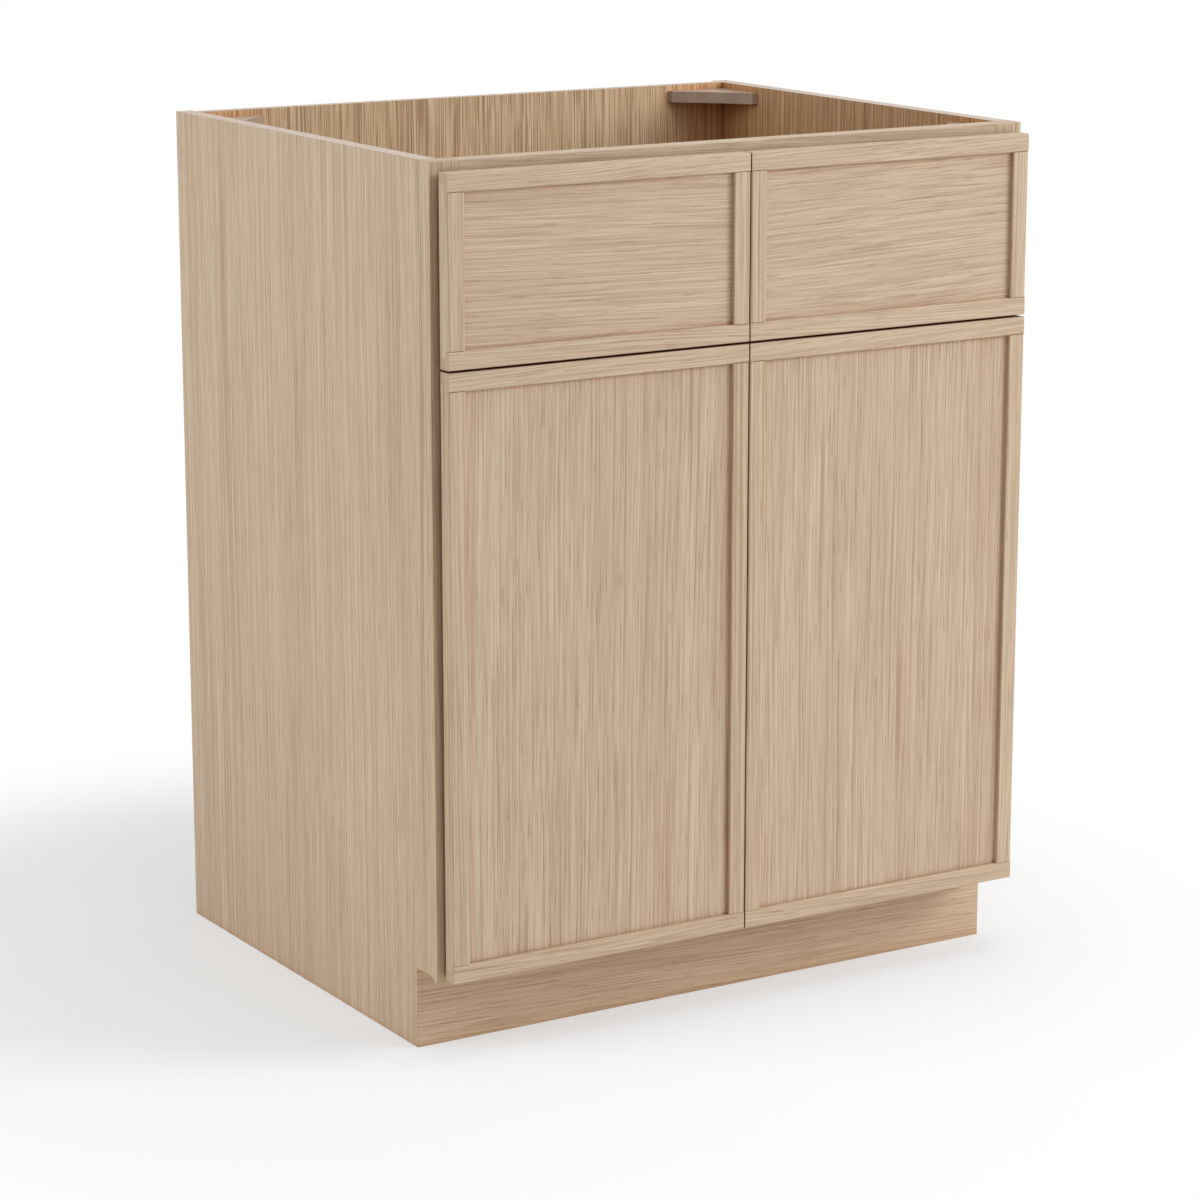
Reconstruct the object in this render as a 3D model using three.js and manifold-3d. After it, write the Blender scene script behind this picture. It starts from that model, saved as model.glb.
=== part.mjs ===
// Sink base cabinet with two doors and two false drawer fronts.
// Millimetres, +Z up, the front faces -Y, and the origin is the middle of the footprint on the floor.

import * as THREE from "three";
import { mergeVertices } from "three/addons/utils/BufferGeometryUtils.js";
import Module from "manifold-3d";

const wasm = await Module();
wasm.setup();

// ---------------------------------------------------------------------------
// Driving dimensions
// ---------------------------------------------------------------------------

// Carcass
const cabinetWidth = 685.8;
const cabinetHeight = 876.3;
const cabinetDepth = 546.1; // front of the face frame to the rear edges of the sides
const sideThickness = 18;
const backThickness = 12.7;
const backInset = 8; // rear edge of the sides to the rear of the back panel
const floorThickness = 15.9;
const dadoDepth = 6; // grooves in the sides that hold the floor and the back
const glueGap = 0.1; // clearance between two fixed, mating faces
const overcut = 1; // how far a cut runs past the face that it opens

// Toe kick
const toeRecess = 41;
const toeNotchHeight = 82.2;
const toeBoardThickness = 12.7;
const toeCoveRadius = 10.5; // rounded upper front corner of the notch
const toeCoveReach = 13.5; // front of the frame to where the cove meets the top of the notch
const toeLipDrop = 4.7; // how far the face frame reaches below the notch

// Face frame
const frameThickness = 19.05;
const stileWidth = 31.75;
const topRailHeight = 38.1;
const middleRailHeight = 38.1;
const bottomRailHeight = 38.1;
const mullionWidth = 38.1;

// Fronts: two doors and two false drawer fronts
const frontThickness = 15.9;
const frontGap = 6.5; // back of a front to the face frame
const falseFrontHeight = 184.2;
const topReveal = 9.5; // top of the face frame to the top of the false fronts
const sideReveal = 6.35; // outer side of the cabinet to the outer edge of a front
const bottomReveal = 4.4; // bottom of the face frame to the bottom of the doors
const rowSeam = 2.4; // between a false front and the door under it
const centreSeam = 1.6; // between the left and the right fronts
const memberWidth = 18; // visible width of each rail and stile of a front
const panelRecess = 4.5; // centre panel behind the front of its rails
const panelRabbet = 8; // how far the centre panel runs behind the rails
const edgeEasing = 0.8;
const cleatWidth = 36;
const cleatThickness = 19;

// Corner braces
const braceLeg = 72;
const braceHeight = 12.4;
const braceDrop = 6.5; // top of the cabinet to the top of the brace
const braceWall = 2.4;
const braceEndDepth = 6; // how far an end of the front wall stands from the panel
const braceLip = 1.5; // flange beyond each end of the front wall
const braceHollow = 4; // sag of the front wall towards the corner
const braceScrewRadius = 2.2;
const braceScrewInset = 18; // corner of a brace to the hole in its top plate, each way

// Cup hinges
const cupRadius = 17.5;
const cupDepth = 10;
const cupEdgeDistance = 3; // edge of a door to the rim of the cup
const cupClearance = 0.1;
const flangeThickness = 1.2;
const flangeRadius = 18.5;
const earReach = 24; // middle of the cup to a screw of its flange
const earRadius = 5;
const screwHoleRadius = 2.1;
const pinRadius = 1.5;
const pinLength = 20;
const pinInset = 8.6; // hinge pin from the outer edge of the door, towards its middle
const pinDepth = 6.1; // hinge pin from the back of the door, into the cup
const pinSeatClearance = 0.02;
const pinRunClearance = 0.08;
const knuckleRadius = 2.4;
const pocketMargin = 0.8; // cup pocket round the knuckle and the arm
const pocketFloorGap = 0.5;
const pocketFarReach = 14.5; // middle of the cup to the far end of its pocket
const armThickness = 1.8;
const armWidth = 12;
const armFlatLength = 13; // knuckle to the first bend of the arm
const armShoulder = 2; // front of the face frame to the upper bend of the arm
const armBendRadius = 3;
const armPlateHeight = 50;
const armPlateFront = 3; // front of the face frame to the front edge of the plate
const armPlateRear = 17.5; // front of the face frame to the rear edge of the plate
const armPlateHole = 18; // middle of the arm to a screw hole of its plate
const hingeInset = 80; // end of a door to the middle of its hinge

// Door bumpers
const bumperRadius = 5;
const bumperInset = 12; // free corner of a door to the middle of its bumper
const bumperClearance = 0.3;

// Facets
const cupSegments = 48;
const pinSegments = 20;
const coveSegments = 10;
const bendSegments = 6;

// ---------------------------------------------------------------------------
// Places worked out from the sizes above
// ---------------------------------------------------------------------------

const halfWidth = cabinetWidth / 2;
const frontReach = frontGap + frontThickness;
const frameFrontY = (frontReach - cabinetDepth) / 2;
const frameBottom = toeNotchHeight - toeLipDrop;
const frameInnerHalf = halfWidth - stileWidth;
const sideInnerHalf = halfWidth - sideThickness;
const floorTop = frameBottom + bottomRailHeight;
const floorBottom = floorTop - floorThickness;
const backRear = cabinetDepth - backInset;
const backFront = backRear - backThickness;
const falseFrontBottom = cabinetHeight - topReveal - falseFrontHeight;
const doorTop = falseFrontBottom - rowSeam;
const doorBottom = frameBottom + bottomReveal;
const doorHeight = doorTop - doorBottom;
const frontWidth = (cabinetWidth - 2 * sideReveal - centreSeam) / 2;
const middleRailCentre = falseFrontBottom - rowSeam / 2;
const topRailBottom = cabinetHeight - topRailHeight;
const middleRailTop = middleRailCentre + middleRailHeight / 2;
const middleRailBottom = middleRailCentre - middleRailHeight / 2;
const cupInset = cupEdgeDistance + cupRadius;
const pinX = sideReveal + pinInset; // from the outer side of the cabinet
const pinY = frontGap + pinDepth; // in front of the face frame

// ---------------------------------------------------------------------------
// Materials
// ---------------------------------------------------------------------------

const finish = (color, roughness, metalness = 0) =>
  new THREE.MeshStandardMaterial({ color, roughness, metalness });
const oakSide = () => finish(0xc2ac92, 0.55);
const oakFront = () => finish(0xcbb296, 0.55);
const oakInside = () => finish(0xb9966f, 0.6);
const braceMoulding = () => finish(0x95857a, 0.5);
const nickel = () => finish(0xb8b9bb, 0.3, 1);
const bumperRubber = () => finish(0xd8d8d4, 0.7);

// ---------------------------------------------------------------------------
// Shape helpers
// ---------------------------------------------------------------------------

// A closed geometry as a solid that can be joined and cut.
function solidOf(geometry) {
  const bare = geometry.clone();
  bare.deleteAttribute("normal");
  bare.deleteAttribute("uv");
  const merged = mergeVertices(bare, 1e-4);
  return new wasm.Manifold(
    new wasm.Mesh({
      numProp: 3,
      vertProperties: new Float32Array(merged.attributes.position.array),
      triVerts: new Uint32Array(merged.index.array),
    }),
  );
}

// The other way: a solid as a geometry with flat faces.
function geometryOf(solid) {
  const mesh = solid.getMesh();
  const geometry = new THREE.BufferGeometry();
  const position = new THREE.BufferAttribute(mesh.vertProperties, mesh.numProp);
  geometry.setAttribute("position", position);
  geometry.setIndex(new THREE.BufferAttribute(mesh.triVerts, 1));
  return geometry;
}

function cut(geometry, ...tools) {
  const rest = tools.reduce((body, tool) => body.subtract(solidOf(tool)), solidOf(geometry));
  return geometryOf(rest);
}

function join(geometry, ...others) {
  const whole = others.reduce((body, other) => body.add(solidOf(other)), solidOf(geometry));
  return geometryOf(whole);
}

// A block between two corners.
function block(low, high) {
  const size = high.map((value, i) => value - low[i]);
  const middle = high.map((value, i) => (value + low[i]) / 2);
  return new THREE.BoxGeometry(...size).translate(...middle);
}

// A closed outline through points, each a pair of numbers.
function outline(points) {
  return new THREE.Shape(points.map(([u, v]) => new THREE.Vector2(u, v)));
}

// An outline in plan, (x, y), as a prism that rises from z = 0.
function prismUp(shape, height, curveSegments = bendSegments) {
  const options = { depth: height, bevelEnabled: false, curveSegments };
  return new THREE.ExtrudeGeometry(shape, options);
}

// An outline in side view, (y, z), as a prism that runs along +X from x = 0.
function prismAcross(shape, length, curveSegments = coveSegments) {
  const turn = new THREE.Matrix4().set(0, 0, 1, 0, 1, 0, 0, 0, 0, 1, 0, 0, 0, 0, 0, 1);
  return prismUp(shape, length, curveSegments).applyMatrix4(turn);
}

// A cylinder whose axis runs along Z.
function uprightCylinder(radius, height, segments) {
  return new THREE.CylinderGeometry(radius, radius, height, segments).rotateX(Math.PI / 2);
}

// A cylinder whose axis runs along Y.
function depthCylinder(radius, length, segments) {
  return new THREE.CylinderGeometry(radius, radius, length, segments);
}

// A cylinder whose axis runs along X.
function acrossCylinder(radius, length, segments) {
  return new THREE.CylinderGeometry(radius, radius, length, segments).rotateZ(Math.PI / 2);
}

function part(name, geometry, material, x = 0, y = 0, z = 0) {
  const mesh = new THREE.Mesh(geometry, material);
  mesh.name = name;
  mesh.position.set(x, y, z);
  return mesh;
}

// ---------------------------------------------------------------------------
// Carcass
// ---------------------------------------------------------------------------

// A side stands behind the face frame, with the toe notch at its lower front corner and
// grooves in its inner face for the floor and the back. The front edge under the notch is
// mitred to meet the toe board. side is -1 for left, 1 for right.
function sidePanel(name, side) {
  const front = frameThickness + glueGap;
  const toe = toeRecess + Math.SQRT2 * glueGap;
  const profile = outline([
    [toe, 0],
    [cabinetDepth, 0],
    [cabinetDepth, cabinetHeight],
    [front, cabinetHeight],
    [front, toeNotchHeight],
    [toe, toeNotchHeight],
  ]);
  const board = prismAcross(profile, sideThickness);
  const fromOuter = (depth) => (side < 0 ? depth : sideThickness - depth);
  const grooveEnds = [sideThickness - dadoDepth, sideThickness + overcut].map(fromOuter);
  const grooveLow = Math.min(...grooveEnds);
  const grooveHigh = Math.max(...grooveEnds);
  const floorGroove = block(
    [grooveLow, front - overcut, floorBottom - glueGap],
    [grooveHigh, backRear + glueGap, floorTop + glueGap],
  );
  const backGroove = block(
    [grooveLow, backFront - glueGap, -overcut],
    [grooveHigh, backRear + glueGap, cabinetHeight + overcut],
  );
  const mitrePlan = outline([
    [fromOuter(-overcut), toe - overcut],
    [fromOuter(toeBoardThickness), toe + toeBoardThickness],
    [fromOuter(sideThickness + overcut), toe + toeBoardThickness],
    [fromOuter(sideThickness + overcut), toe - overcut],
  ]);
  const mitre = prismUp(mitrePlan, toeNotchHeight + overcut).translate(0, 0, -overcut);
  const x = side < 0 ? -halfWidth : halfWidth - sideThickness;
  return part(name, cut(board, floorGroove, backGroove, mitre), oakSide(), x);
}

function backPanel() {
  const half = sideInnerHalf + dadoDepth - glueGap;
  const board = block([-half, backFront, 0], [half, backRear, cabinetHeight]);
  return part("back_panel", board, oakInside());
}

function floorPanel() {
  const half = sideInnerHalf + dadoDepth - glueGap;
  const front = frameThickness + glueGap;
  const board = block([-half, front, floorBottom], [half, backFront - glueGap, floorTop]);
  return part("floor_panel", board, oakInside());
}

// The toe board runs the full width, with its ends mitred into the sides.
function toeKickBoard() {
  const rear = toeRecess + toeBoardThickness;
  const rearHalf = halfWidth - toeBoardThickness;
  const plan = outline([
    [-halfWidth, toeRecess],
    [halfWidth, toeRecess],
    [rearHalf, rear],
    [-rearHalf, rear],
  ]);
  return part("toe_kick_board", prismUp(plan, toeNotchHeight - glueGap), oakFront());
}

// ---------------------------------------------------------------------------
// Face frame
// ---------------------------------------------------------------------------

// A frame stile runs the full height. The back of its foot is coved, which rounds the
// upper front corner of the toe notch.
function frameStile(name, x) {
  const coveCentre = toeNotchHeight - toeCoveRadius;
  const coveWidth = Math.sqrt(toeCoveRadius ** 2 - (frameBottom - coveCentre) ** 2);
  const sweepStart = Math.PI - Math.atan2(frameBottom - coveCentre, coveWidth);
  const profile = new THREE.Shape();
  profile.moveTo(edgeEasing, frameBottom);
  profile.lineTo(toeCoveReach - coveWidth, frameBottom);
  profile.absarc(toeCoveReach, coveCentre, toeCoveRadius, sweepStart, Math.PI / 2, true);
  profile.lineTo(frameThickness, toeNotchHeight);
  profile.lineTo(frameThickness, cabinetHeight);
  profile.lineTo(edgeEasing, cabinetHeight);
  profile.lineTo(0, cabinetHeight - edgeEasing);
  profile.lineTo(0, frameBottom + edgeEasing);
  return part(name, prismAcross(profile, stileWidth), oakFront(), x);
}

// Rails butt between the stiles, with their front edges eased.
function frameRail(name, bottom, height) {
  const half = frameInnerHalf - glueGap;
  const profile = outline([
    [0, bottom + edgeEasing],
    [edgeEasing, bottom],
    [frameThickness, bottom],
    [frameThickness, bottom + height],
    [edgeEasing, bottom + height],
    [0, bottom + height - edgeEasing],
  ]);
  return part(name, prismAcross(profile, 2 * half), oakFront(), -half);
}

// A short upright in the middle of the frame, between the two false fronts.
function frameMullion() {
  const low = middleRailTop + glueGap;
  const high = topRailBottom - glueGap;
  const half = mullionWidth / 2;
  const bar = block([-half, 0, low], [half, frameThickness, high]);
  return part("frame_mullion", bar, oakFront());
}

// Cleats stand in the two upper openings of the frame and reach forward to the backs of
// the false fronts, which are fixed to them.
function cleat(name, x) {
  const low = middleRailTop + glueGap;
  const high = topRailBottom - glueGap;
  const front = -frontGap + glueGap;
  const bar = block([0, front, low], [cleatWidth, front + cleatThickness, high]);
  return part(name, bar, oakInside(), x);
}

// ---------------------------------------------------------------------------
// Fronts
// ---------------------------------------------------------------------------

const lipDepth = frontThickness - panelRecess; // back of a front to its centre panel's face
const seatWidth = memberWidth - panelRabbet; // full-depth part of a rail or stile

// Section of a rail or stile: u runs inwards from its outer edge, v from back to front.
// The rabbet behind the inner edge takes the centre panel.
function memberSection() {
  return [
    [0, 0],
    [seatWidth, 0],
    [seatWidth, lipDepth],
    [memberWidth, lipDepth],
    [memberWidth, frontThickness - edgeEasing],
    [memberWidth - edgeEasing, frontThickness],
    [edgeEasing, frontThickness],
    [0, frontThickness - edgeEasing],
  ];
}

// The bottom rail of a front of the given width. Its rabbet also takes the tongues of
// the stiles.
function railGeometry(width) {
  const section = outline(memberSection().map(([u, v]) => [-v, u]));
  return prismAcross(section, width);
}

// The left stile of a front of the given height: full section between the rails, with a
// tongue at each end that laps behind the lip of the rail.
function stileGeometry(height) {
  const section = outline(memberSection().map(([u, v]) => [u, -v]));
  const inner = height - 2 * memberWidth - 2 * glueGap;
  const bar = prismUp(section, inner).translate(0, 0, memberWidth + glueGap);
  const reach = seatWidth + glueGap;
  const tongue = block([0, -lipDepth + glueGap, reach], [seatWidth, 0, height - reach]);
  return join(bar, tongue);
}

// A left stile turned into the right one, or a bottom rail into the top one.
function halfTurn(geometry, width, height) {
  return geometry.rotateY(Math.PI).translate(width, 0, height);
}

// The five pieces of a front. Its own origin is the lower left corner of its back.
function frontLeaf(name, width, height, bores = []) {
  const leaf = new THREE.Group();
  const carve = (geometry) => (bores.length ? cut(geometry, ...bores) : geometry);
  const stile = () => stileGeometry(height);
  const rail = () => railGeometry(width);
  const inset = seatWidth + glueGap;
  const panel = block(
    [inset, -lipDepth + glueGap, inset],
    [width - inset, 0, height - inset],
  );
  const topRail = halfTurn(rail(), width, height);
  const rightStile = halfTurn(stile(), width, height);
  leaf.add(
    part(name + "_bottom_rail", rail(), oakFront()),
    part(name + "_top_rail", topRail, oakFront()),
    part(name + "_left_stile", carve(stile()), oakFront()),
    part(name + "_right_stile", carve(rightStile), oakFront()),
    part(name + "_panel", carve(panel), oakFront()),
  );
  return leaf;
}

// ---------------------------------------------------------------------------
// Cup hinges
// ---------------------------------------------------------------------------

const hingeHeights = [hingeInset, doorHeight - hingeInset];

// The bores in the back of a door for its two cups, in the door's own frame.
function cupBores(edgeX) {
  const length = cupDepth + cupClearance;
  return hingeHeights.map((height) =>
    depthCylinder(cupRadius + cupClearance, 2 * length, cupSegments).translate(edgeX, 0, height),
  );
}

// A cup, its middle on the back of the door at the origin, open towards +Y, with the
// hinge edge of the door towards -X.
function hingeCup(name) {
  const barrel = depthCylinder(cupRadius, cupDepth, cupSegments).translate(0, -cupDepth / 2, 0);
  const rise = flangeThickness / 2;
  const flange = depthCylinder(flangeRadius, flangeThickness, cupSegments).translate(0, rise, 0);
  const ears = [-earReach, earReach].map((z) =>
    depthCylinder(earRadius, flangeThickness, pinSegments).translate(0, rise, z),
  );
  const web = block([-earRadius, 0, -earReach], [earRadius, flangeThickness, earReach]);
  const holes = [-earReach, earReach].map((z) =>
    depthCylinder(screwHoleRadius, 4 * flangeThickness, pinSegments).translate(0, rise, z),
  );
  const pinAt = pinInset - cupInset;
  const pocketHalf = armWidth / 2 + pocketMargin;
  const pocketFloor = -(pinDepth + knuckleRadius + pocketFloorGap);
  const pocket = block(
    [pinAt - knuckleRadius - pocketMargin, pocketFloor, -pocketHalf],
    [pocketFarReach, 2 * flangeThickness, pocketHalf],
  );
  const pinHole = uprightCylinder(pinRadius + pinSeatClearance, pinLength + overcut, pinSegments);
  const body = join(barrel, flange, ...ears, web);
  const cup = cut(body, ...holes, pocket, pinHole.translate(pinAt, -pinDepth, 0));
  return part(name, cup, nickel());
}

// The arm's middle line in plan, from under the knuckle, along the floor of the cup, up
// past the face frame and along the inner edge of the frame stile. The origin is the
// pin, and +X runs from the hinge edge of the door towards its middle.
function armLine() {
  const lowY = -(knuckleRadius - armThickness / 2);
  const stileX = stileWidth + glueGap + armThickness / 2 - pinX;
  const foot = new THREE.Vector2(armFlatLength, lowY);
  const shoulder = new THREE.Vector2(stileX, pinY - armShoulder);
  const start = new THREE.Vector2(0, lowY);
  const end = new THREE.Vector2(stileX, pinY + armPlateRear);
  return roundedLine([start, foot, shoulder, end], armBendRadius);
}

// Points along straight runs with a rounded bend at each inner corner.
function roundedLine(corners, radius) {
  const path = [corners[0]];
  for (let i = 1; i < corners.length - 1; i++) {
    const before = corners[i - 1].clone().sub(corners[i]).normalize();
    const after = corners[i + 1].clone().sub(corners[i]).normalize();
    const half = Math.acos(before.dot(after)) / 2;
    const setback = radius / Math.tan(half);
    const from = corners[i].clone().addScaledVector(before, setback);
    const to = corners[i].clone().addScaledVector(after, setback);
    const bend = new THREE.QuadraticBezierCurve(from, corners[i], to);
    path.push(...bend.getPoints(bendSegments));
  }
  path.push(corners[corners.length - 1]);
  return path;
}

// A strip of even thickness along a line, as a closed outline.
function stripOutline(line, thickness) {
  const offset = (sign) =>
    line.map((point, i) => {
      const before = line[Math.max(i - 1, 0)];
      const after = line[Math.min(i + 1, line.length - 1)];
      const along = after.clone().sub(before).normalize();
      const normal = new THREE.Vector2(-along.y, along.x);
      return point.clone().addScaledVector(normal, (sign * thickness) / 2);
    });
  return new THREE.Shape([...offset(-1), ...offset(1).reverse()]);
}

// An arm with its knuckle round the pin at the origin and its plate on the frame stile.
function hingeArm(name) {
  const strip = prismUp(stripOutline(armLine(), armThickness), armWidth);
  const knuckle = uprightCylinder(knuckleRadius, armWidth, pinSegments);
  const bore = uprightCylinder(pinRadius + pinRunClearance, armWidth + overcut, pinSegments);
  const plateX = stileWidth + glueGap - pinX;
  const plate = block(
    [plateX, pinY + armPlateFront, -armPlateHeight / 2],
    [plateX + armThickness, pinY + armPlateRear, armPlateHeight / 2],
  );
  const holeY = pinY + (armPlateFront + armPlateRear) / 2;
  const holes = [-armPlateHole, armPlateHole].map((z) =>
    acrossCylinder(screwHoleRadius, 4 * armThickness, pinSegments).translate(plateX, holeY, z),
  );
  const body = join(strip.translate(0, 0, -armWidth / 2), knuckle, plate);
  return part(name, cut(body, bore, ...holes), nickel());
}

// ---------------------------------------------------------------------------
// Corner braces
// ---------------------------------------------------------------------------

// A moulded brace: two legs against the panels, a top plate, and a hollow front wall with
// a flange at each end. Its corner is at the origin and its legs run along +X and +Y.
function braceGeometry() {
  const reach = braceLeg - braceLip;
  const middle = (reach + braceEndDepth) / 2 - braceHollow;
  const plan = new THREE.Shape();
  plan.moveTo(0, 0);
  plan.lineTo(braceLeg, 0);
  plan.lineTo(braceLeg, braceWall);
  plan.lineTo(reach, braceWall);
  plan.lineTo(reach, braceEndDepth);
  plan.quadraticCurveTo(middle, middle, braceEndDepth, reach);
  plan.lineTo(braceWall, reach);
  plan.lineTo(braceWall, braceLeg);
  plan.lineTo(0, braceLeg);
  const inner = new THREE.Shape();
  const low = braceWall;
  const high = reach - braceWall;
  const side = braceEndDepth - braceWall;
  const dip = middle - braceWall * Math.SQRT1_2;
  inner.moveTo(low, low);
  inner.lineTo(high, low);
  inner.lineTo(high, side);
  inner.quadraticCurveTo(dip, dip, side, high);
  inner.lineTo(low, high);
  const shell = prismUp(plan, braceHeight, coveSegments);
  const hollow = prismUp(inner, braceHeight, coveSegments).translate(0, 0, -braceWall);
  const topHole = uprightCylinder(braceScrewRadius, 4 * braceHeight, pinSegments);
  return cut(shell, hollow, topHole.translate(braceScrewInset, braceScrewInset, 0));
}

// ---------------------------------------------------------------------------
// Assembly
// ---------------------------------------------------------------------------

const cabinet = new THREE.Group();
cabinet.position.set(0, frameFrontY, 0);

cabinet.add(
  sidePanel("left_side_panel", -1),
  sidePanel("right_side_panel", 1),
  backPanel(),
  floorPanel(),
  toeKickBoard(),
  frameStile("frame_left_stile", -halfWidth),
  frameStile("frame_right_stile", halfWidth - stileWidth),
  frameRail("frame_top_rail", topRailBottom, topRailHeight),
  frameRail("frame_middle_rail", middleRailBottom, middleRailHeight),
  frameRail("frame_bottom_rail", frameBottom, bottomRailHeight),
  frameMullion(),
);

const cleatPlaces = {
  left_front_outer_cleat: -frameInnerHalf + glueGap,
  left_front_inner_cleat: -mullionWidth / 2 - cleatWidth - glueGap,
  right_front_inner_cleat: mullionWidth / 2 + glueGap,
  right_front_outer_cleat: frameInnerHalf - cleatWidth - glueGap,
};
for (const [name, x] of Object.entries(cleatPlaces)) cabinet.add(cleat(name, x));

// Braces: one in each top corner, turned so that its legs lie on the two panels there.
const braceBottom = cabinetHeight - braceDrop - braceHeight;
const braceFrontY = frameThickness + glueGap;
const braceRearY = backFront - glueGap;
const braceX = sideInnerHalf - glueGap;
const bracePlaces = [
  ["front_left_brace", -braceX, braceFrontY, 0],
  ["front_right_brace", braceX, braceFrontY, Math.PI / 2],
  ["rear_right_brace", braceX, braceRearY, Math.PI],
  ["rear_left_brace", -braceX, braceRearY, -Math.PI / 2],
];
for (const [name, x, y, turn] of bracePlaces) {
  const brace = part(name, braceGeometry(), braceMoulding(), x, y, braceBottom);
  brace.rotation.z = turn;
  cabinet.add(brace);
}

// False drawer fronts, and doors with their hinges and bumpers.
for (const [side, hand] of [["left", 1], ["right", -1]]) {
  const leafX = hand > 0 ? -halfWidth + sideReveal : centreSeam / 2;
  const falseFront = frontLeaf(side + "_false_front", frontWidth, falseFrontHeight);
  falseFront.position.set(leafX, -frontGap, falseFrontBottom);
  cabinet.add(falseFront);

  const cupX = hand > 0 ? cupInset : frontWidth - cupInset;
  const door = frontLeaf(side + "_door", frontWidth, doorHeight, cupBores(cupX));
  door.position.set(leafX, -frontGap, doorBottom);

  const freeX = hand > 0 ? frontWidth - bumperInset : bumperInset;
  const bumperLength = frontGap - bumperClearance;
  const bumperHeights = { lower: bumperInset, upper: doorHeight - bumperInset };
  for (const [level, height] of Object.entries(bumperHeights)) {
    const pad = depthCylinder(bumperRadius, bumperLength, pinSegments);
    const name = [side, level, "bumper"].join("_");
    door.add(part(name, pad, bumperRubber(), freeX, bumperLength / 2, height));
  }

  const hingeLevels = { lower: hingeHeights[0], upper: hingeHeights[1] };
  for (const [level, height] of Object.entries(hingeLevels)) {
    const prefix = [side, level, "hinge"].join("_");
    const cup = hingeCup(prefix + "_cup");
    cup.position.set(cupX, cupClearance, height);
    cup.scale.x = hand;
    const pin = part(
      prefix + "_pin",
      uprightCylinder(pinRadius, pinLength, pinSegments),
      nickel(),
      cupX + hand * (pinInset - cupInset),
      cupClearance - pinDepth,
      height,
    );
    door.add(cup, pin);
    const arm = hingeArm(prefix + "_arm");
    arm.position.set(-hand * (halfWidth - pinX), cupClearance - pinY, doorBottom + height);
    arm.scale.x = hand;
    cabinet.add(arm);
  }
  cabinet.add(door);
}

const root = new THREE.Group();
root.add(cabinet);

export default root;
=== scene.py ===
import math

import bmesh
import bpy
from mathutils import Matrix, Vector


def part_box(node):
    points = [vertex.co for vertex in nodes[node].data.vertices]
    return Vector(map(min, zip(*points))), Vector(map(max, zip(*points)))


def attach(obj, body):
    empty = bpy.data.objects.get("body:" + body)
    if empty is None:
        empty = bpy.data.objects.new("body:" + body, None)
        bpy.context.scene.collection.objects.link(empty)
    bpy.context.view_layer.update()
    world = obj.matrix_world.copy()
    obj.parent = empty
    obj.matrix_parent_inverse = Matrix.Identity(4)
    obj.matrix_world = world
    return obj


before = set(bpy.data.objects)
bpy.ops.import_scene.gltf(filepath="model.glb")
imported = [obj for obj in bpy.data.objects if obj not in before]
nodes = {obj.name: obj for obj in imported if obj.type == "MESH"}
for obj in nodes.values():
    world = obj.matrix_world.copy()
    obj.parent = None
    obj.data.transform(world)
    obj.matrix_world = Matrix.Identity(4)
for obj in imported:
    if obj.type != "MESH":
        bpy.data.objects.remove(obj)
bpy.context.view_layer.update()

# The looks of a sink base cabinet: oak, moulded plastic, nickel and rubber materials,
# screws, and a plain studio. Lengths are in metres, in the cabinet's own frame.

MM = 0.001
scene = bpy.context.scene

# ---------------------------------------------------------------------------
# Node graphs
# ---------------------------------------------------------------------------


def linear(red, green, blue):
    """A colour written in 0 to 255 display values, as a linear colour with alpha."""
    def one(value):
        value /= 255
        return value / 12.92 if value <= 0.04045 else ((value + 0.055) / 1.055) ** 2.4
    return (one(red), one(green), one(blue), 1)


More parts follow.
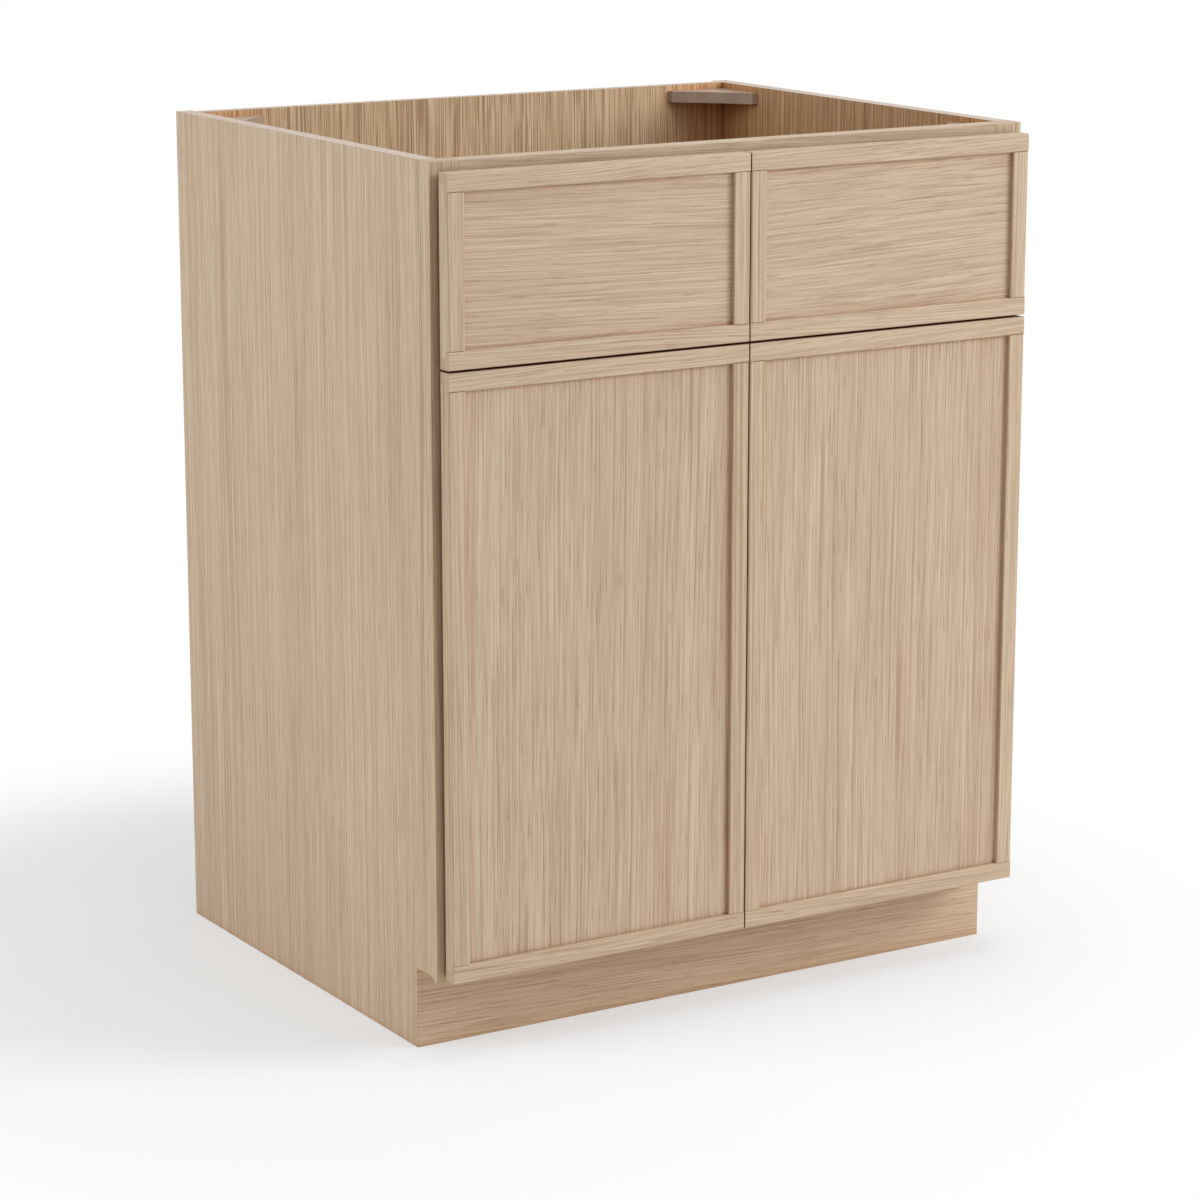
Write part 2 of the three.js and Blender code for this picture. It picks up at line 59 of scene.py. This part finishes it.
class Graph:
    """The node tree of a new material or world, with one call for each kind of node."""

    def __init__(self, owner):
        self.owner = owner
        owner.use_nodes = True
        self.tree = owner.node_tree
        self.tree.nodes.clear()

    def add(self, kind, inputs, **settings):
        made = self.tree.nodes.new("ShaderNode" + kind)
        for key, value in settings.items():
            setattr(made, key, value)
        for key, value in inputs.items():
            if isinstance(value, bpy.types.NodeSocket):
                self.tree.links.new(value, made.inputs[key])
            else:
                made.inputs[key].default_value = value
        return made

    def math(self, operation, a, b=0.0):
        return self.add("Math", {0: a, 1: b}, operation=operation).outputs[0]

    def vector(self, operation, a, b):
        return self.add("VectorMath", {0: a, 1: b}, operation=operation).outputs[0]

    def dot(self, a, b):
        made = self.add("VectorMath", {0: a, 1: b}, operation="DOT_PRODUCT")
        return made.outputs["Value"]

    def noise(self, place, cells, detail=2.0, output="Fac"):
        """Noise with a number of cells per metre along each axis."""
        inputs = {
            "Vector": self.vector("MULTIPLY", place, cells),
            "Scale": 1.0,
            "Detail": detail,
        }
        return self.add("TexNoise", inputs).outputs[output]

    def remap(self, value, fade, to_low=0.0, to_high=1.0):
        """to_low at the first value of fade and to_high at the second, smooth between."""
        inputs = {
            "Value": value,
            "From Min": fade[0],
            "From Max": fade[1],
            "To Min": to_low,
            "To Max": to_high,
        }
        return self.add("MapRange", inputs, interpolation_type="SMOOTHSTEP").outputs[0]

    def mix(self, factor, a, b, blend_type="MIX"):
        inputs = {0: factor, 6: a, 7: b}
        made = self.add("Mix", inputs, data_type="RGBA", blend_type=blend_type)
        return made.outputs[2]

    def multiply_colour(self, factor, colour, by):
        return self.mix(factor, colour, by, "MULTIPLY")

    def openness(self, reach):
        """1 where nothing is near a point, down to 0 in a narrow joint."""
        return self.add("AmbientOcclusion", {"Distance": reach}, samples=2).outputs["AO"]

    def rounded(self, radius, samples):
        """The surface's direction, with its edges rounded."""
        return self.add("Bevel", {"Radius": radius}, samples=samples).outputs[0]

    def sharpness(self, rounded):
        """0 on a flat face, rising towards a rounded edge."""
        flat = self.add("NewGeometry", {}).outputs["Normal"]
        return self.math("SUBTRACT", 1.0, self.dot(rounded, flat))

    def bump(self, height, rounded, strength, distance):
        return self.add("Bump", {
            "Strength": strength,
            "Distance": distance,
            "Height": height,
            "Normal": rounded,
        }).outputs[0]

    def seen_directly(self):
        """1 for a ray of the camera, a reflection or a refraction."""
        rays = self.add("LightPath", {}).outputs
        reflected = self.math("MAXIMUM", rays["Is Camera Ray"], rays["Is Glossy Ray"])
        return self.math("MAXIMUM", reflected, rays["Is Transmission Ray"])

    def finish(self, **inputs):
        named = {key.replace("_", " "): value for key, value in inputs.items()}
        shader = self.add("BsdfPrincipled", named)
        self.add("OutputMaterial", {"Surface": shader.outputs[0]})
        return self.owner


# ---------------------------------------------------------------------------
# Oak
# ---------------------------------------------------------------------------

AXES = {"X": (1, 0, 0), "Y": (0, 1, 0), "Z": (0, 0, 1)}

OAK_LIGHT = linear(208, 188, 164)
OAK_DARK = linear(199, 175, 148)
OAK_LINE = linear(160, 130, 102)
OAK_PORE = linear(140, 108, 80)
OAK_GLINT = linear(226, 208, 184)
OAK_END = linear(190, 166, 139)
OAK_WORN = linear(224, 204, 180)
EDGE_BAND = linear(202, 184, 170)

# Factors that the oak's colour is multiplied by. All but the inside streak are painted light
# and shade: painted light on the back panel's inner face and on the toe board, and painted
# shade, warmer, on the other inner faces, in the carcass's corners, in recesses and in seams
BACK_PAINTED_LIGHT = (1.21, 1.13, 0.98, 1)
INSIDE_PAINTED_SHADE = (0.96, 0.78, 0.58, 1)
INSIDE_STREAK = (0.70, 0.62, 0.54, 1)
CORNER_PAINTED_SHADE = (1.0, 0.82, 0.62, 1)
TOE_PAINTED_LIGHT = (1.12, 1.09, 1.05, 1)
RECESS_PAINTED_SHADE = (1.02, 0.91, 0.82, 1)
NOOK_PAINTED_SHADE = (0.28, 0.09, 0.03, 1)

NOOK_SHADE_REACH = 14 * MM # how near another face must be for the painted shade, warm in a recess and dark in a seam
CORNER_SHADE_REACH = 120 * MM # the same inside the carcass, for the painted shade in its corners
BACK_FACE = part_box("back_panel")[0].y + 0.5 * MM # faces behind it are not inside

# Figure of the grain: lines per metre across it and along it, how strongly they show,
# how far they wander from straight, in metres, and how much the ground colour drifts.
FIGURES = {
    "rift": {"lines": 430, "along": 2.4, "strength": 0.56, "wander": 0.0024, "drift": 0.8},
    "fine": {"lines": 560, "along": 1.0, "strength": 0.62, "wander": 0.0006, "drift": 0.7},
    "plain": {"lines": 640, "along": 4.0, "strength": 0.36, "wander": 0.003, "drift": 0.3},
}

# Cells of noise per metre, twice across the grain and once along it
BEND_CELLS = (6, 6, 2.4)
BAND_CELLS = (26, 26, 0.8)
PATCH_CELLS = 30
PATCH_ALONG = 1.2 # times the figure's lines along
FIBRE_CELLS = (900, 900, 8)
PORE_CELLS = (700, 700, 26)
RING_CELLS = (420, 130, 1)
EDGE_BAND_CELLS = (90, 90, 90)

# Values of the noise between which a mark fades in
BAND_FADE = (0.25, 0.75)
PATCH_FADE = (0.34, 0.66)
LINE_FADE = (0.44, 0.33)
GLINT_FADE = (0.55, 0.68)
FIBRE_FADE = (0.56, 0.36)
STREAK_FADE = (0.52, 0.40)
PORE_FADE = (0.61, 0.70)
RING_FADE = (0.34, 0.60)
EDGE_BAND_FADE = (0.3, 0.7)
SHEEN_FADE = (0.35, 0.65)

# Openness or sharpness between which painted shade or a worn edge fades in
CORNER_SHADE_FADE = (0.95, 0.40)
RECESS_SHADE_FADE = (0.85, 0.35)
NOOK_SHADE_FADE = (0.36, 0.03)
WEAR_FADE = (0.03, 0.25)

# Share of a face's direction between which one look of a board fades into another
INWARD_FADE = (0.5, 0.9)
EDGE_BAND_TURN = (0.6, 0.4)
END_TURN = (0.4, 0.6)

# How strongly each mark shows
QUIET_PATCH = 0.45 # of the figure's strength
GLINT_STRENGTH = 0.35
FIBRE_STRENGTH = 0.40
PORE_STRENGTH = 0.34
RING_LEAST = 0.82
EDGE_BAND_STREAK = 0.35
WEAR_STRENGTH = 0.28

# Its surface
PORE_DEPTH = -0.5 # of the relief of the growth lines
OAK_EDGE = 0.5 * MM # radius of its edges
OAK_RELIEF = 0.12 * MM
OAK_ROUGHNESS = (0.60, 0.50) # on the dark lines and on the glints

NOISE_SWING = 0.25 # how far the noise goes to either side of its middle, mostly
BOARD_SHIFT = Vector((1.73, 2.39, 0.91)) # from one board's figure to the next one's


def grain_turn(grain, tilt, sheet_axis):
    """Rotation that brings the grain to local Z, with a slight lean in the board's plane."""
    if grain == "X":
        return (0, -math.pi / 2 + tilt, 0)
    return (tilt, 0, 0) if sheet_axis == "X" else (0, tilt, 0)


class Grain:
    """The noises and the face colour of one board, with its grain along local Z."""

    def __init__(self, graph, place, look):
        bend = graph.noise(place, BEND_CELLS, detail=1.5, output="Color")
        centred = graph.vector("SUBTRACT", bend, (0.5, 0.5, 0.5))
        offset = graph.vector("MULTIPLY", centred, (look["wander"] / NOISE_SWING,) * 3)
        bent = graph.vector("ADD", place, offset)

        lines = look["lines"]
        patch_cells = (PATCH_CELLS, PATCH_CELLS, PATCH_ALONG * look["along"])
        bands = graph.noise(bent, BAND_CELLS)
        patches = graph.noise(bent, patch_cells)
        self.growth = graph.noise(bent, (lines, lines, look["along"]), detail=1.0)
        self.fibre = graph.noise(bent, FIBRE_CELLS, detail=1.0)
        self.pores = graph.noise(bent, PORE_CELLS, detail=1.0)

        spread = look["drift"] / 2
        tone = graph.remap(bands, BAND_FADE, 0.5 - spread, 0.5 + spread)
        colour = graph.mix(tone, OAK_LIGHT, OAK_DARK)
        strength = look["strength"]
        shown = graph.remap(patches, PATCH_FADE, QUIET_PATCH * strength, strength)
        for noise, fade, most, mark in (
            (self.growth, LINE_FADE, shown, OAK_LINE),
            (self.growth, GLINT_FADE, GLINT_STRENGTH, OAK_GLINT),
            (self.fibre, FIBRE_FADE, FIBRE_STRENGTH, OAK_LINE),
            (self.pores, PORE_FADE, PORE_STRENGTH, OAK_PORE),
        ):
            mask = graph.math("MULTIPLY", graph.remap(noise, fade), most)
            colour = graph.mix(mask, colour, mark)
        self.face = colour


def inside_painted_light_and_streaks(graph, texture, colour, fibre, name, direction):
    """Painted light and shade on the face that looks inwards: lighter on the back panel,
    darker and warmer on the other boards, with painted shade in the corners; streaked with
    grain as well.
    """
    depth_axis = graph.add("SeparateXYZ", {0: texture.outputs["Object"]}).outputs["Y"]
    enclosed = graph.math("LESS_THAN", depth_axis, BACK_FACE)
    facing = graph.dot(texture.outputs["Normal"], direction)
    inward = graph.math("MULTIPLY", graph.remap(facing, INWARD_FADE), enclosed)
    # painted light on the back panel's inner face, painted shade, warmer and darker, on the
    # other inner faces
    painted_tone = BACK_PAINTED_LIGHT if name == "back_panel" else INSIDE_PAINTED_SHADE
    colour = graph.multiply_colour(inward, colour, painted_tone)
    streaks = graph.math("MULTIPLY", graph.remap(fibre, STREAK_FADE), inward)
    colour = graph.multiply_colour(streaks, colour, INSIDE_STREAK)
    # painted shade: the carcass's inner corners darker and warmer where other boards are near
    corner_shade = graph.remap(graph.openness(CORNER_SHADE_REACH), CORNER_SHADE_FADE)
    return graph.multiply_colour(graph.math("MULTIPLY", corner_shade, inward), colour, CORNER_PAINTED_SHADE)


def oak(name, grain, figure, number, tilt, sheet_axis, inside):
    """Oak with its grain along one axis. A board with sheet_axis is veneered, with plain edge
    bands and painted light and shade on its face towards inside; the rest is solid, with end
    grain. Every board gets painted shade in its recesses and seams."""
    graph = Graph(bpy.data.materials.new("oak_" + name))
    texture = graph.add("TexCoord", {})
    turned = graph.add("Mapping", {
        "Vector": texture.outputs["Object"],
        "Location": BOARD_SHIFT * (number + 1),
        "Rotation": grain_turn(grain, tilt, sheet_axis),
    }).outputs[0]
    wood = Grain(graph, turned, FIGURES[figure])
    face = wood.face
    # painted light: the toe board made lighter and warmer, as if lit by light bounced from
    # the floor
    if name == "toe_kick_board":
        face = graph.multiply_colour(1.0, face, TOE_PAINTED_LIGHT)

    normal = texture.outputs["Normal"]
    facing = graph.math("ABSOLUTE", graph.dot(normal, AXES[sheet_axis or grain]))
    if sheet_axis:
        mottle = graph.noise(texture.outputs["Object"], EDGE_BAND_CELLS)
        streak = graph.remap(mottle, EDGE_BAND_FADE, 0.0, EDGE_BAND_STREAK)
        band = graph.mix(streak, EDGE_BAND, OAK_LIGHT)
        colour = graph.mix(graph.remap(facing, EDGE_BAND_TURN), face, band)
        colour = inside_painted_light_and_streaks(graph, texture, colour, wood.fibre, name, inside)
    else:
        rings = graph.remap(graph.noise(turned, RING_CELLS), RING_FADE, RING_LEAST, 1.0)
        end = graph.mix(rings, OAK_LINE, OAK_END)
        colour = graph.mix(graph.remap(facing, END_TURN), face, end)

    # painted shade: warmer in recesses and dark brown in narrow seams and joints
    nook = graph.openness(NOOK_SHADE_REACH)
    colour = graph.multiply_colour(graph.remap(nook, RECESS_SHADE_FADE), colour, RECESS_PAINTED_SHADE)
    colour = graph.multiply_colour(graph.remap(nook, NOOK_SHADE_FADE), colour, NOOK_PAINTED_SHADE)

    rounded = graph.rounded(OAK_EDGE, samples=3)
    wear = graph.remap(graph.sharpness(rounded), WEAR_FADE, 0.0, WEAR_STRENGTH)
    relief = graph.math("ADD", wood.growth, graph.math("MULTIPLY", wood.pores, PORE_DEPTH))
    return graph.finish(
        Base_Color=graph.mix(wear, colour, OAK_WORN),
        Roughness=graph.remap(wood.growth, SHEEN_FADE, *OAK_ROUGHNESS),
        Specular_IOR_Level=0.35,
        Normal=graph.bump(relief, rounded, strength=0.35, distance=OAK_RELIEF),
    )


SHEET_AXES = {
    "left_side_panel": "X",
    "right_side_panel": "X",
    "back_panel": "Y",
    "floor_panel": "Z",
}

INSIDE_FACES = {
    "left_side_panel": (1, 0, 0),
    "right_side_panel": (-1, 0, 0),
    "back_panel": (0, -1, 0),
    "floor_panel": (0, 0, 1),
}

PLAIN_TILT = math.radians(2.2)
STRAIGHT_TILT = math.radians(0.5)
TILT_START = 0.7 # angles of a sine that spreads the tilts over the boards
TILT_STEP = 2.4


def grain_of(name):
    along = name.endswith("_rail") or name in ("toe_kick_board", "floor_panel")
    return "X" if along or name.endswith("false_front_panel") else "Z"


def figure_of(name):
    if name in SHEET_AXES:
        return "fine" if name.endswith("side_panel") else "rift"
    if name.endswith(("false_front_panel", "_rail")) or name == "toe_kick_board":
        return "plain"
    return "fine" if name.endswith("stile") else "rift"


def tilt_of(name, number):
    """A few degrees at most, to either side, larger where the grain is plain sawn."""
    most = PLAIN_TILT if figure_of(name) == "plain" else STRAIGHT_TILT
    return most * math.sin(TILT_STEP * number + TILT_START)


# ---------------------------------------------------------------------------
# Plastic, nickel and rubber
# ---------------------------------------------------------------------------

BRACE_LIGHT = linear(178, 156, 138)
BRACE_DARK = linear(168, 146, 128)
# pale colour on the brace's edges, partly rubbed wear and partly a painted highlight
BRACE_EDGE_WEAR_AND_HIGHLIGHT = linear(214, 200, 188)
RUBBER_LIGHT = linear(222, 222, 216)
RUBBER_DARK = linear(206, 206, 200)
NICKEL = (0.62, 0.61, 0.59, 1)
ZINC = (0.66, 0.65, 0.62, 1)

# Cells of noise per metre
BRACE_CLOUDS = (60, 60, 60)
BRACE_SKIN = (2600, 2600, 2600)
METAL_CLOUDS = (120, 120, 120)
METAL_BRUSHING = (3000, 3000, 90)
RUBBER_CLOUDS = (400, 400, 400)

CLOUD_FADE = (0.3, 0.7)
BRACE_ROUGHNESS = (0.30, 0.38)
RUBBER_ROUGHNESS = (0.42, 0.52)
METAL_ROUGHNESS_SWING = 0.06
BRACE_EDGE_RADIUS = 0.35 * MM
METAL_EDGE_RADIUS = 0.3 * MM
EDGE_WEAR_AND_HIGHLIGHT_FADE = (0.02, 0.2)
EDGE_WEAR_AND_HIGHLIGHT_STRENGTH = 0.7
TARNISH = 0.86 # share of the light that the darker patches of the plating keep


def moulded_plastic():
    graph = Graph(bpy.data.materials.new("taupe_moulding"))
    place = graph.add("TexCoord", {}).outputs["Object"]
    cloud = graph.noise(place, BRACE_CLOUDS, detail=3)
    skin = graph.noise(place, BRACE_SKIN, detail=1)
    colour = graph.mix(graph.remap(cloud, CLOUD_FADE), BRACE_LIGHT, BRACE_DARK)
    rounded = graph.rounded(BRACE_EDGE_RADIUS, samples=4)
    # the brace's edges paler: partly rubbed wear, partly a painted highlight along them
    worn_and_highlit = graph.remap(graph.sharpness(rounded), EDGE_WEAR_AND_HIGHLIGHT_FADE, 0.0, EDGE_WEAR_AND_HIGHLIGHT_STRENGTH)
    return graph.finish(
        Base_Color=graph.mix(worn_and_highlit, colour, BRACE_EDGE_WEAR_AND_HIGHLIGHT),
        Roughness=graph.remap(cloud, CLOUD_FADE, *BRACE_ROUGHNESS),
        Specular_IOR_Level=0.55,
        Normal=graph.bump(skin, rounded, strength=0.2, distance=0.05 * MM),
        Coat_Weight=0.5,
        Coat_Roughness=0.14,
    )


def plated_steel(name, tint, roughness):
    graph = Graph(bpy.data.materials.new(name))
    place = graph.add("TexCoord", {}).outputs["Object"]
    brushed = graph.noise(place, METAL_BRUSHING, detail=2)
    cloud = graph.noise(place, METAL_CLOUDS, detail=2)
    darker = tuple(TARNISH * value for value in tint[:3]) + (1,)
    swing = METAL_ROUGHNESS_SWING
    rounded = graph.rounded(METAL_EDGE_RADIUS, samples=4)
    return graph.finish(
        Base_Color=graph.mix(graph.remap(cloud, CLOUD_FADE), tint, darker),
        Metallic=1.0,
        Roughness=graph.remap(brushed, CLOUD_FADE, roughness - swing, roughness + swing),
        Normal=graph.bump(brushed, rounded, strength=0.15, distance=0.02 * MM),
    )


def milky_rubber():
    graph = Graph(bpy.data.materials.new("milky_rubber"))
    place = graph.add("TexCoord", {}).outputs["Object"]
    cloud = graph.noise(place, RUBBER_CLOUDS, detail=2)
    return graph.finish(
        Base_Color=graph.mix(graph.remap(cloud, CLOUD_FADE), RUBBER_LIGHT, RUBBER_DARK),
        Roughness=graph.remap(cloud, CLOUD_FADE, *RUBBER_ROUGHNESS),
        Subsurface_Weight=0.25,
    )


brace_finish = moulded_plastic()
nickel = plated_steel("nickel_plate", NICKEL, roughness=0.27)
zinc = plated_steel("zinc_screw", ZINC, roughness=0.24)
rubber = milky_rubber()

for number, name in enumerate(sorted(nodes)):
    if "hinge" in name:
        finish = nickel
    elif "brace" in name:
        finish = brace_finish
    elif "bumper" in name:
        finish = rubber
    else:
        finish = oak(
            name, grain_of(name), figure_of(name), number, tilt_of(name, number),
            SHEET_AXES.get(name), INSIDE_FACES.get(name),
        )
    slots = nodes[name].data.materials
    if not len(slots):
        slots.append(finish)
    for index in range(len(slots)):
        slots[index] = finish

# ---------------------------------------------------------------------------
# Screws
# ---------------------------------------------------------------------------

HEAD_RINGS = 9
HEAD_SPOKES = 40
DOME = 0.72 # how far the dome falls away at its rim
SLOT_HALF = 0.13 # of the head's radius
SLOT_REACH = 0.58 # of the head's radius
SLOT_DEPTH = 0.75 # of the head's rise
SLOT_TAPER = 1.25 # of the slot's reach, where its floor would come up to the dome

# Radius and rise of each kind of head
CUP_HEAD = (3.6 * MM, 1.0 * MM)
PLATE_HEAD = (3.4 * MM, 1.3 * MM)
BRACE_HEAD = (3.4 * MM, 1.6 * MM)
CLEAT_HEAD = (4.0 * MM, 1.5 * MM)

# Where the screws sit on their pieces
EAR_REACH = 24 * MM # above and below the middle of a hinge cup
PLATE_HALF_DEPTH = 7.25 * MM # in front of the back edge of a hinge's plate
PLATE_SCREW = 18 * MM # above and below the middle of the plate
BRACE_WALL = 2.4 * MM # thickness that lies between a brace's screw and the board
BRACE_SCREW_ALONG = 40 * MM # from the corner, along either wall of a brace
BRACE_SCREW_UP = 5.4 * MM # above the brace's lower edge
CLEAT_SCREW_INSET = 22 * MM # from either end of a cleat

# How far the cross of a head is turned, in radians, so that no two look the same
HINGE_SPINS = (("lower", 0.3), ("upper", 1.1))
BRACE_CROSS_SPIN = 0.5
BRACE_SIDE_SPIN = 0.9
CLEAT_SPIN = 20 # for each metre of the screw's height

ENDS = (("bottom", -1), ("top", 1))


def head_height(x, y, radius, rise):
    """Height of a domed head with a cross recess, at a point of it."""
    dome = rise * math.sqrt(max(1 - DOME * (x * x + y * y) / radius ** 2, 0))
    reach = SLOT_REACH * radius
    near, far = sorted((abs(x), abs(y)))
    if near < SLOT_HALF * radius and far < reach:
        return dome - SLOT_DEPTH * rise * (1 - far / (SLOT_TAPER * reach))
    return dome


def screw_head(name, centre, out, size, body, spin):
    """A screw's head. centre is on the face that it sits on, and out points away from
    that face."""
    radius, rise = size
    mesh = bmesh.new()
    top = mesh.verts.new((0, 0, head_height(0, 0, radius, rise)))
    turns = [2 * math.pi * k / HEAD_SPOKES for k in range(HEAD_SPOKES)]
    rings = []
    for ring in range(1, HEAD_RINGS + 1):
        r = radius * ring / HEAD_RINGS
        spots = [(r * math.cos(a), r * math.sin(a)) for a in turns]
        rings.append([
            mesh.verts.new((x, y, head_height(x, y, radius, rise))) for x, y in spots
        ])
    rim = [mesh.verts.new((v.co.x, v.co.y, 0)) for v in rings[-1]]
    rings.append(rim)
    for k in range(HEAD_SPOKES):
        after = (k + 1) % HEAD_SPOKES
        mesh.faces.new((top, rings[0][k], rings[0][after]))
        for inner, outer in zip(rings, rings[1:]):
            mesh.faces.new((inner[k], outer[k], outer[after], inner[after]))
    mesh.faces.new(list(reversed(rim)))
    turn = Vector(out).to_track_quat("Z", "Y").to_matrix().to_4x4()
    mesh.transform(Matrix.Translation(centre) @ turn @ Matrix.Rotation(spin, 4, "Z"))
    data = bpy.data.meshes.new(name)
    mesh.to_mesh(data)
    mesh.free()
    data.materials.append(zinc)
    piece = bpy.data.objects.new(name, data)
    scene.collection.objects.link(piece)
    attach(piece, body)


def hinge_screws(side, inward, level, spin):
    stem = f"{side}_{level}_hinge"
    low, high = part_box(stem + "_cup")
    middle = (low + high) / 2
    for end, sign in ENDS:
        spot = (middle.x, high.y, middle.z + sign * EAR_REACH)
        screw_head(
            f"{stem}_cup_{end}_screw", spot, (0, 1, 0), CUP_HEAD, side + "_door", spin * sign,
        )
    low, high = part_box(stem + "_arm")
    face = high.x if inward > 0 else low.x
    for end, sign in ENDS:
        spot = (face, high.y - PLATE_HALF_DEPTH, (low.z + high.z) / 2 + sign * PLATE_SCREW)
        screw_head(
            f"{stem}_plate_{end}_screw", spot, (inward, 0, 0), PLATE_HEAD, "carcass",
            spin + sign,
        )


def brace_screws(side, inward, row, back):
    stem = f"{row}_{side}_brace"
    low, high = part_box(stem)
    corner_x = low.x if inward > 0 else high.x
    corner_y = low.y if back > 0 else high.y
    up = low.z + BRACE_SCREW_UP
    spot = (corner_x + inward * BRACE_SCREW_ALONG, corner_y + back * BRACE_WALL, up)
    screw_head(
        stem + "_cross_screw", spot, (0, back, 0), BRACE_HEAD, "carcass",
        BRACE_CROSS_SPIN * inward,
    )
    spot = (corner_x + inward * BRACE_WALL, corner_y + back * BRACE_SCREW_ALONG, up)
    screw_head(
        stem + "_side_screw", spot, (inward, 0, 0), BRACE_HEAD, "carcass",
        BRACE_SIDE_SPIN * back,
    )


def cleat_screws(cleat):
    low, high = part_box(cleat)
    across = (low.x + high.x) / 2
    heights = (low.z + CLEAT_SCREW_INSET, high.z - CLEAT_SCREW_INSET)
    for (end, _), up in zip(ENDS, heights):
        screw_head(
            f"{cleat}_{end}_screw", (across, high.y, up), (0, 1, 0), CLEAT_HEAD, "carcass",
            CLEAT_SPIN * up,
        )


for side, inward in (("left", 1), ("right", -1)):
    for level, spin in HINGE_SPINS:
        hinge_screws(side, inward, level, spin)
    for row, back in (("front", 1), ("rear", -1)):
        brace_screws(side, inward, row, back)
    for place in ("outer", "inner"):
        cleat_screws(f"{side}_front_{place}_cleat")

# ---------------------------------------------------------------------------
# Studio
# ---------------------------------------------------------------------------

WHITE_STRENGTH = 1.0 # of the surroundings where they are seen
AMBIENT = 0.43 # of the same surroundings as they light the cabinet

FLOOR_HALF = 9.0
FLOOR_BOUNCE = (0.93, 0.87, 0.80, 1) # its colour as the cabinet is lit by it
FLOOR_SEEN = (0.95, 0.975, 1.0, 1)
SHADOW_MIDDLE = (-0.18, 0.03, 0)
SHADOW_FADE = (0.55, 0.95) # distances over which the floor fades to plain white
SHADOW_LIFT = 0.38 # share of plain white in the shadow itself

KEY_TINT = (0.945, 0.972, 1.0)
LAMP_TINT = (0.975, 0.985, 1.0)
LAMP_AIM = Vector((0, 0, 0.45))

world = Graph(bpy.data.worlds.new("studio"))
level = world.remap(world.seen_directly(), (0.0, 1.0), AMBIENT, WHITE_STRENGTH)
sky = world.add("Background", {"Color": (1, 1, 1, 1), "Strength": level})
world.add("OutputWorld", {"Surface": sky.outputs[0]})
scene.world = world.owner


def floor_material():
    """Matt, and plain white away from the cabinet where it is seen directly."""
    graph = Graph(bpy.data.materials.new("studio_floor"))
    seen = graph.seen_directly()
    matt = graph.add("BsdfDiffuse", {"Color": graph.mix(seen, FLOOR_BOUNCE, FLOOR_SEEN)})
    white = graph.add("Emission", {"Strength": WHITE_STRENGTH})
    place = graph.add("TexCoord", {}).outputs["Object"]
    offset = graph.vector("SUBTRACT", place, SHADOW_MIDDLE)
    reach = graph.add("VectorMath", {0: offset}, operation="LENGTH").outputs["Value"]
    far = graph.remap(reach, SHADOW_FADE, SHADOW_LIFT)
    fade = graph.math("MULTIPLY", far, seen)
    shader = graph.add("MixShader", {0: fade, 1: matt.outputs[0], 2: white.outputs[0]})
    graph.add("OutputMaterial", {"Surface": shader.outputs[0]})
    return graph.owner


floor_mesh = bpy.data.meshes.new("floor")
corners = [
    (FLOOR_HALF * x, FLOOR_HALF * y, 0) for x, y in ((-1, -1), (1, -1), (1, 1), (-1, 1))
]
floor_mesh.from_pydata(corners, [], [(0, 1, 2, 3)])
floor_mesh.materials.append(floor_material())
floor = bpy.data.objects.new("floor", floor_mesh)
scene.collection.objects.link(floor)


def softbox(name, place, size, power, tint=LAMP_TINT):
    """A square lamp that faces the middle of the cabinet."""
    data = bpy.data.lights.new(name, "AREA")
    data.size = size
    data.energy = power
    data.color = tint
    lamp = bpy.data.objects.new(name, data)
    lamp.location = place
    lamp.rotation_mode = "QUATERNION"
    lamp.rotation_quaternion = (LAMP_AIM - Vector(place)).to_track_quat("-Z", "Y")
    scene.collection.objects.link(lamp)


softbox("key", (3.2, -2.6, 2.3), size=1.8, power=113, tint=KEY_TINT)
softbox("fill", (-3.7, 1.0, 1.7), size=2.2, power=51)
softbox("top", (0.3, -0.6, 3.6), size=2.0, power=28)

# ---------------------------------------------------------------------------
# Camera
# ---------------------------------------------------------------------------

SENSOR_WIDTH = 36 # millimetres, as is the focal length
FOCAL_LENGTH = 112.555
CAMERA_PLACE = (-2.0139, -3.3014, 1.2660)
YAW = math.radians(31.41)
PITCH = math.radians(13.084)

camera_data = bpy.data.cameras.new("camera")
camera_data.sensor_width = SENSOR_WIDTH
camera_data.lens = FOCAL_LENGTH
camera = bpy.data.objects.new("camera", camera_data)
camera.location = CAMERA_PLACE
camera.rotation_euler = (math.pi / 2 - PITCH, 0, -YAW)
scene.collection.objects.link(camera)
bpy.context.scene.camera = camera
scene.view_settings.view_transform = "Standard"
